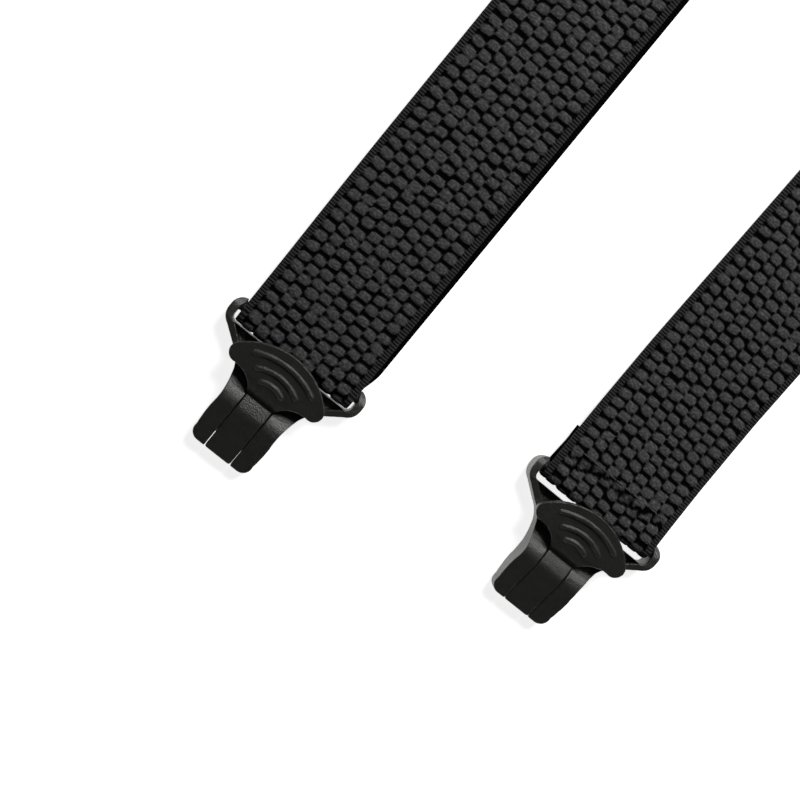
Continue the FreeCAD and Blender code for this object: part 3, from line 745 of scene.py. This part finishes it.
def elastic_material():
    """Black elastic: fine yarns over each pebble, ribs across the selvage."""
    material, tree, shader = new_material("elastic_web")
    crown = put(tree, "ShaderNodeAttribute", attribute_name="crown")
    selvage = put(tree, "ShaderNodeAttribute", attribute_name="selvage")
    uv = put(tree, "ShaderNodeUVMap", uv_map="web")
    lengthways = put(tree, "ShaderNodeMapping")
    lengthways.inputs["Scale"].default_value = (0.8, 1.5, 1.0)
    tree.links.new(uv.outputs[0], lengthways.inputs["Vector"])
    yarn = put(tree, "ShaderNodeTexNoise", scale=1.25, detail=5.0, roughness=0.7)
    tree.links.new(lengthways.outputs[0], yarn.inputs["Vector"])
    cloud = put(tree, "ShaderNodeTexNoise", scale=0.35, detail=2.0)
    tree.links.new(uv.outputs[0], cloud.inputs["Vector"])
    rib = put(
        tree,
        "ShaderNodeTexWave",
        wave_type="BANDS",
        bands_direction="Y",
        scale=0.37,
        distortion=1.2,
        detail=2.0,
        detail_scale=1.5,
    )
    tree.links.new(uv.outputs[0], rib.inputs["Vector"])
    # painted shade: where the crown is low, in the gaps between pebbles and on flattened pebbles,
    # the colour is painted near black
    lit = ranged(tree, crown.outputs["Fac"], 0.3, 0.74, 0.0, 1.0)
    face = mixed(tree, cloud.outputs["Fac"], (0.045, 0.045, 0.045), (0.075, 0.075, 0.075))
    fibre = ranged(tree, yarn.outputs["Fac"], 0.46, 0.66, 0.0, 1.0)
    face = mixed(tree, fibre, face, (0.2, 0.2, 0.2))
    colour = mixed(tree, lit, (0.002, 0.002, 0.002), face)
    ridge = ranged(tree, rib.outputs["Fac"], 0.15, 0.85, 0.0, 1.0)
    edging = mixed(tree, ridge, (0.022, 0.022, 0.022), (0.11, 0.11, 0.11))
    # painted shade on the selvage as well, where its crown value is low
    edging = mixed(tree, lit, (0.003, 0.003, 0.003), edging)
    colour = mixed(tree, selvage.outputs["Fac"], colour, edging)
    tree.links.new(colour, shader.inputs["Base Color"])
    rough = ranged(tree, yarn.outputs["Fac"], 0.3, 0.8, 0.62, 0.84)
    tree.links.new(rough, shader.inputs["Roughness"])
    glint = ranged(tree, crown.outputs["Fac"], 0.2, 0.8, 0.02, 0.35)
    tree.links.new(glint, shader.inputs["Specular IOR Level"])
    ribbed = put(tree, "ShaderNodeMath", operation="MULTIPLY")
    tree.links.new(ridge, ribbed.inputs[0])
    tree.links.new(selvage.outputs["Fac"], ribbed.inputs[1])
    relief = put(tree, "ShaderNodeMath", operation="MULTIPLY_ADD")
    tree.links.new(ribbed.outputs[0], relief.inputs[0])
    relief.inputs[1].default_value = 1.3
    tree.links.new(yarn.outputs["Fac"], relief.inputs[2])
    bump = put(tree, "ShaderNodeBump")
    bump.inputs["Distance"].default_value = 0.7 * MM
    bump.inputs["Strength"].default_value = 1.0
    tree.links.new(relief.outputs[0], bump.inputs["Height"])
    tree.links.new(bump.outputs[0], shader.inputs["Normal"])
    return material


def plastic_material():
    """Black moulded plastic with a fine spark-eroded grain."""
    material, tree, shader = new_material("moulded_plastic")
    grain = grouped(tree, GRAIN, size=1.0)
    lint = grouped(tree, LINT, amount=0.35)
    base = mixed(
        tree, grain.outputs["Mottle"], (0.024, 0.024, 0.0205), (0.041, 0.041, 0.036)
    )
    colour = mixed(tree, lint.outputs["Mask"], base, (0.07, 0.07, 0.068))
    tree.links.new(colour, shader.inputs["Base Color"])
    rough = ranged(tree, grain.outputs["Height"], 0.3, 0.7, 0.27, 0.43)
    tree.links.new(rough, shader.inputs["Roughness"])
    shader.inputs["Specular IOR Level"].default_value = 0.85
    bump = put(tree, "ShaderNodeBump")
    bump.inputs["Distance"].default_value = 0.16 * MM
    bump.inputs["Strength"].default_value = 1.0
    tree.links.new(grain.outputs["Height"], bump.inputs["Height"])
    tree.links.new(bump.outputs[0], shader.inputs["Normal"])
    return material


def leather_material():
    """Black leather: pebbled cells with fine creases between them."""
    material, tree, shader = new_material("patch_leather")
    coords = put(tree, "ShaderNodeTexCoord")
    cells = put(tree, "ShaderNodeTexVoronoi", feature="DISTANCE_TO_EDGE", scale=900.0)
    tree.links.new(coords.outputs["Object"], cells.inputs["Vector"])
    folds = put(tree, "ShaderNodeTexNoise", scale=160.0, detail=6.0, roughness=0.6)
    tree.links.new(coords.outputs["Object"], folds.inputs["Vector"])
    crease = ranged(tree, cells.outputs["Distance"], 0.0, 0.12, 0.0, 1.0)
    base = mixed(tree, folds.outputs["Fac"], (0.014, 0.013, 0.013), (0.034, 0.031, 0.03))
    colour = mixed(tree, crease, (0.008, 0.0075, 0.0075), base)
    tree.links.new(colour, shader.inputs["Base Color"])
    rough = ranged(tree, folds.outputs["Fac"], 0.3, 0.7, 0.4, 0.58)
    tree.links.new(rough, shader.inputs["Roughness"])
    relief = put(tree, "ShaderNodeMath", operation="MULTIPLY_ADD")
    tree.links.new(crease, relief.inputs[0])
    relief.inputs[1].default_value = 0.6
    tree.links.new(folds.outputs["Fac"], relief.inputs[2])
    bump = put(tree, "ShaderNodeBump")
    bump.inputs["Distance"].default_value = 0.12 * MM
    bump.inputs["Strength"].default_value = 0.7
    tree.links.new(relief.outputs[0], bump.inputs["Height"])
    tree.links.new(bump.outputs[0], shader.inputs["Normal"])
    return material


def thread_material():
    """Twisted black thread."""
    material, tree, shader = new_material("sewing_thread")
    coords = put(tree, "ShaderNodeTexCoord")
    twist = put(tree, "ShaderNodeTexWave", bands_direction="DIAGONAL", scale=900.0)
    tree.links.new(coords.outputs["Object"], twist.inputs["Vector"])
    colour = mixed(tree, twist.outputs["Fac"], (0.02, 0.02, 0.021), (0.075, 0.075, 0.077))
    tree.links.new(colour, shader.inputs["Base Color"])
    shader.inputs["Roughness"].default_value = 0.55
    shader.inputs["Sheen Weight"].default_value = 0.3
    bump = put(tree, "ShaderNodeBump")
    bump.inputs["Distance"].default_value = 0.05 * MM
    tree.links.new(twist.outputs["Fac"], bump.inputs["Height"])
    tree.links.new(bump.outputs[0], shader.inputs["Normal"])
    return material


def steel_material():
    """Bright drawn wire with fine draw marks."""
    material, tree, shader = new_material("drawn_steel")
    grain = grouped(tree, GRAIN, size=0.6)
    colour = mixed(tree, grain.outputs["Mottle"], (0.46, 0.46, 0.47), (0.62, 0.62, 0.63))
    tree.links.new(colour, shader.inputs["Base Color"])
    shader.inputs["Metallic"].default_value = 1.0
    rough = ranged(tree, grain.outputs["Height"], 0.3, 0.7, 0.22, 0.38)
    tree.links.new(rough, shader.inputs["Roughness"])
    return material


def enamel_material():
    """Black enamel on pressed steel, with a slight orange-peel surface."""
    material, tree, shader = new_material("black_enamel")
    grain = grouped(tree, GRAIN, size=0.35)
    lint = grouped(tree, LINT, amount=0.25)
    base = mixed(tree, grain.outputs["Mottle"], (0.011, 0.011, 0.012), (0.02, 0.02, 0.021))
    colour = mixed(tree, lint.outputs["Mask"], base, (0.08, 0.08, 0.08))
    tree.links.new(colour, shader.inputs["Base Color"])
    rough = ranged(tree, grain.outputs["Height"], 0.3, 0.7, 0.24, 0.36)
    tree.links.new(rough, shader.inputs["Roughness"])
    shader.inputs["Coat Weight"].default_value = 0.4
    bump = put(tree, "ShaderNodeBump")
    bump.inputs["Distance"].default_value = 0.02 * MM
    tree.links.new(grain.outputs["Mottle"], bump.inputs["Height"])
    tree.links.new(bump.outputs[0], shader.inputs["Normal"])
    return material


ELASTIC = elastic_material()
PLASTIC = plastic_material()
LEATHER = leather_material()
THREAD = thread_material()
STEEL = steel_material()
ENAMEL = enamel_material()


def finish_piece(piece, body, material, slot, *nodes):
    """Gives a piece its material and its body, and hides the nodes it stands for; the slot is not
    used.
    """
    piece.data.materials.clear()
    piece.data.materials.append(material)
    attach(piece, body)
    if nodes:
        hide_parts(*nodes)
    return piece


# ---------------------------------------------------------------- webs
STITCH_S = 7.2 * MM


def sewn(s, v):
    """The sewn row at the rear end draws the pebbles down and out of line."""
    wander = 0.9 * np.sin(v / MM * 0.31 + 0.6) + 0.5 * np.sin(v / MM * 0.93)
    away = (s - STITCH_S) / MM - wander
    pull = np.exp(-((away / 1.5) ** 2))
    ripple = 0.7 + 0.3 * np.sin(v / MM * 2.3) * np.sin(s / MM * 1.9)
    drawn = s + pull * (0.8 * np.sin(v / MM * 1.7) + 0.4) * MM
    return 1 - 0.55 * pull * ripple, drawn


def pressed(s, v):
    """The doubled layer lies flatter than the rest and is painted darker as shade under the front
    run.
    """
    # the factor 0.6 flattens the pebbles and paints the layer darker as shade
    return 0.6 + 0 * s, s


def web_pieces(word, side, upper):
    """One web: leg, shoulder and run, with close stations where it rolls, and its doubled layer."""
    web = Web(side, upper)
    rear_roll = -math.pi * LOOP_MID
    leg_end = REAR - 95 * MM
    fold_low, fold_high = web.fold - 8 * MM, web.run_start + 8 * MM
    twist_end = web.run_start + TWIST_START + TWIST_LENGTH
    pieces = {
        "leg": joined_stations(
            stations_between(rear_roll - FLAP_LENGTH, rear_roll),
            stations_between(rear_roll, 0, ROLL_STEP),
            stations_between(0, leg_end),
        ),
        "shoulder": joined_stations(
            stations_between(leg_end, fold_low),
            stations_between(fold_low, fold_high, FOLD_STEP),
            stations_between(fold_high, twist_end),
        ),
        "run": joined_stations(
            stations_between(twist_end, web.end),
            stations_between(web.end, web.end + math.pi * LOOP_MID, ROLL_STEP),
        ),
    }
    for label, stations in pieces.items():
        soften = sewn if label == "leg" else None
        piece = ribbon_mesh(f"{word}_web_{label}", stations, web.place, soften)
        mended(piece, side)
        nodes = (f"{word}_strap",) if label == "leg" else ()
        finish_piece(piece, "harness", ELASTIC, "elastic_web", *nodes)
    # the doubled layer reaches from the front bar back to the adjuster's sewn tab
    length = ADJUSTER_BACK - TAB_START
    # the doubled layer's colour is darkened as painted shade from the front run above it
    under = ribbon_mesh(
        f"{word}_web_doubled",
        stations_between(0.0, length, STEP * 1.2),
        web.doubled,
        pressed,
    )
    mended(under, side)
    finish_piece(under, "harness", ELASTIC, "elastic_web", f"{word}_strap_return")
    bar, across = joint_place(f"front_{word}_clip_swing")
    back = Vector((0, 0, 1)).cross(across)
    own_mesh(under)


def tab_master():
    """The web's end, turned up round the adjuster's bar and sewn down."""
    turn_y, middle_z = -9.9 * MM, 2.375 * MM
    radius = middle_z - FLAT_Z
    below = turn_y + TAB_START
    bend_end = below + math.pi * radius
    sewn_length = 13.1 * MM

    def place(s, v, h):
        turn = np.clip((s - below) / radius, 0, math.pi)
        back = np.maximum(s - bend_end, 0)
        y = np.minimum(-TAB_START + s, turn_y) + (radius + h) * np.sin(turn) - back
        z = middle_z - (radius + h) * np.cos(turn)
        return points_at(-v, y, z)

    stations = joined_stations(
        stations_between(0, below),
        stations_between(below, bend_end, FOLD_STEP),
        stations_between(bend_end, bend_end + sewn_length),
    )
    return ribbon_mesh("strap_tab_web", stations, place)


for word, side, upper in (("left", 1, False), ("right", -1, True)):
    web_pieces(word, side, upper)

# ---------------------------------------------------------------- clips
CLIP_VOXEL = 0.2 * MM
clip_axes = floor_axes("front_left_clip_swing")
clip_frame_master = moulding(
    "clip_frame_master", "front_left_clip_frame", clip_axes, CLIP_VOXEL, 3, 0.5
)
clip_lever_master = moulding(
    "clip_lever_master", "front_left_clip_lever", clip_axes, CLIP_VOXEL, 2, 0.5
)
pin_master = rod(
    "pin_master", LEVER_PIN_RADIUS, LEVER_PIN_HALF, LEVER_PIN_Y, LEVER_PIN_Z
)
coil_master, leg_master = (linked(mesh.name, mesh) for mesh in spring_wires())
for where in ("front_left", "front_right", "rear_left", "rear_right"):
    matrix = floor_axes(f"{where}_clip_swing")
    for master, label, body, material, slot, node in (
        (clip_frame_master, "frame_moulding", "clip", PLASTIC, "moulded_plastic", "clip_frame"),
        (clip_lever_master, "thumb_lever", "lever", PLASTIC, "moulded_plastic", "clip_lever"),
        (pin_master, "lever_pin", "clip", STEEL, "steel", "hinge_pin"),
        (coil_master, "spring_coils", "clip", STEEL, "steel", "torsion_spring"),
        (leg_master, "spring_leg", "lever", STEEL, "steel", None),
    ):
        piece = placed_copy(master, f"{where}_{label}", matrix)
        nodes = (f"{where}_{node}",) if node else ()
        finish_piece(piece, f"{where}_{body}", material, slot, *nodes)

# ---------------------------------------------------------------- adjusters


def adjuster_axes(word):
    """Adjuster axes: origin on the floor, a little before the grip's pin."""
    return floor_axes(f"{word}_grip_lift") @ Matrix.Translation((0, -GRIP_PIN_Y, 0))


ADJUSTER_VOXEL = 0.22 * MM
left_axes = adjuster_axes("left")
adjuster_master = moulding(
    "adjuster_master", "left_adjuster_frame", left_axes, ADJUSTER_VOXEL, 3, 0.5
)
grip_master = moulding(
    "grip_master", "left_adjuster_grip", left_axes, ADJUSTER_VOXEL, 3, 0.5
)
grip_pin_master = rod(
    "grip_pin_master", GRIP_PIN_RADIUS, GRIP_PIN_HALF, GRIP_PIN_Y, GRIP_PIN_Z
)
web_tab_master = tab_master()
for word in ("left", "right"):
    matrix = adjuster_axes(word)
    for master, label, body, material, slot, node in (
        (adjuster_master, "adjuster_cheeks", "adjuster", ENAMEL, "black_metal", "adjuster_frame"),
        (grip_master, "adjuster_flap", "grip", ENAMEL, "black_metal", "adjuster_grip"),
        (grip_pin_master, "flap_pin", "adjuster", STEEL, "steel", "adjuster_pin"),
        (web_tab_master, "sewn_tab", "adjuster", ELASTIC, "elastic_web", "strap_tab"),
    ):
        piece = placed_copy(master, f"{word}_{label}", matrix)
        finish_piece(piece, f"{word}_{body}", material, slot, f"{word}_{node}")
    threads = thread_piece(f"{word}_tab_threads", f"{word}_tab_stitches", 0.1 * MM)
    finish_piece(threads, f"{word}_adjuster", THREAD, "thread", f"{word}_tab_stitches")
for master in (
    clip_frame_master,
    clip_lever_master,
    pin_master,
    coil_master,
    leg_master,
    adjuster_master,
    grip_master,
    grip_pin_master,
    web_tab_master,
):
    bpy.data.objects.remove(master)

# ---------------------------------------------------------------- patch and stitches
for where in ("rear_left", "rear_right"):
    threads = thread_piece(f"{where}_threads", f"{where}_stitches", 0.24 * MM, 0.25 * MM)
    finish_piece(threads, "harness", THREAD, "thread", f"{where}_stitches")
top_patch = patch_piece("back_patch_top", "cross_patch_top", True)
finish_piece(top_patch, "harness", LEATHER, "leather", "cross_patch_top")
bottom_patch = patch_piece("back_patch_bottom", "cross_patch_bottom", False)
finish_piece(bottom_patch, "harness", LEATHER, "leather", "cross_patch_bottom")
patch_threads = thread_piece(
    "back_patch_threads", "patch_stitching", 0.28 * MM, 0.2 * MM, draped
)
finish_piece(patch_threads, "harness", THREAD, "thread", "patch_stitching")

# ---------------------------------------------------------------- floor, light, camera
deselect()
bpy.ops.mesh.primitive_plane_add(size=60.0, location=(0, 0, -0.0004))
floor = bpy.context.object
floor.name = "floor"
floor_material, _, floor_shader = new_material("white_floor")
floor_shader.inputs["Base Color"].default_value = (0.93, 0.93, 0.93, 1.0)
floor_shader.inputs["Roughness"].default_value = 0.9
floor_shader.inputs["Emission Color"].default_value = (1.0, 1.0, 1.0, 1.0)
floor_shader.inputs["Emission Strength"].default_value = 0.84
floor.data.materials.append(floor_material)


def soft_light(name, target, direction, distance, size, power):
    """A square softbox that faces the target."""
    light = bpy.data.lights.new(name, "AREA")
    light.shape = "SQUARE"
    light.size = size
    light.energy = power
    lamp = linked(name, light)
    away = Vector(direction).normalized()
    lamp.location = Vector(target) + away * distance
    lamp.rotation_euler = away.to_track_quat("Z", "Y").to_euler()


LIT_POINT = (-0.18, -0.2, 0.0)
soft_light("key_softbox", LIT_POINT, (0.3, 0.62, 0.72), 0.8, 0.3, 4.4)

world = bpy.data.worlds.new("studio")
world.use_nodes = True
sky = world.node_tree
backdrop = sky.nodes["Background"]
direction = put(sky, "ShaderNodeTexCoord")
split = put(sky, "ShaderNodeSeparateXYZ")
sky.links.new(direction.outputs["Generated"], split.inputs[0])
fade = ranged(sky, split.outputs["Z"], 0.02, 0.45, 0.95, 0.12)
sky.links.new(fade, backdrop.inputs["Strength"])
bpy.context.scene.world = world

CAMERA_PLACE = (-0.22734, -0.19922, 0.30271)
CAMERA_TURN = (-6.534, -3.523, 19.615)
FOCAL_LENGTH = 50.4
lens = bpy.data.cameras.new("studio_camera")
lens.lens = FOCAL_LENGTH
lens.sensor_width = 36.0
lens.clip_start = 0.01
camera = linked("studio_camera", lens)
camera.location = CAMERA_PLACE
camera.rotation_euler = [math.radians(angle) for angle in CAMERA_TURN]
bpy.context.scene.camera = camera
bpy.context.scene.view_settings.view_transform = "Standard"

bpy.context.view_layer.update()
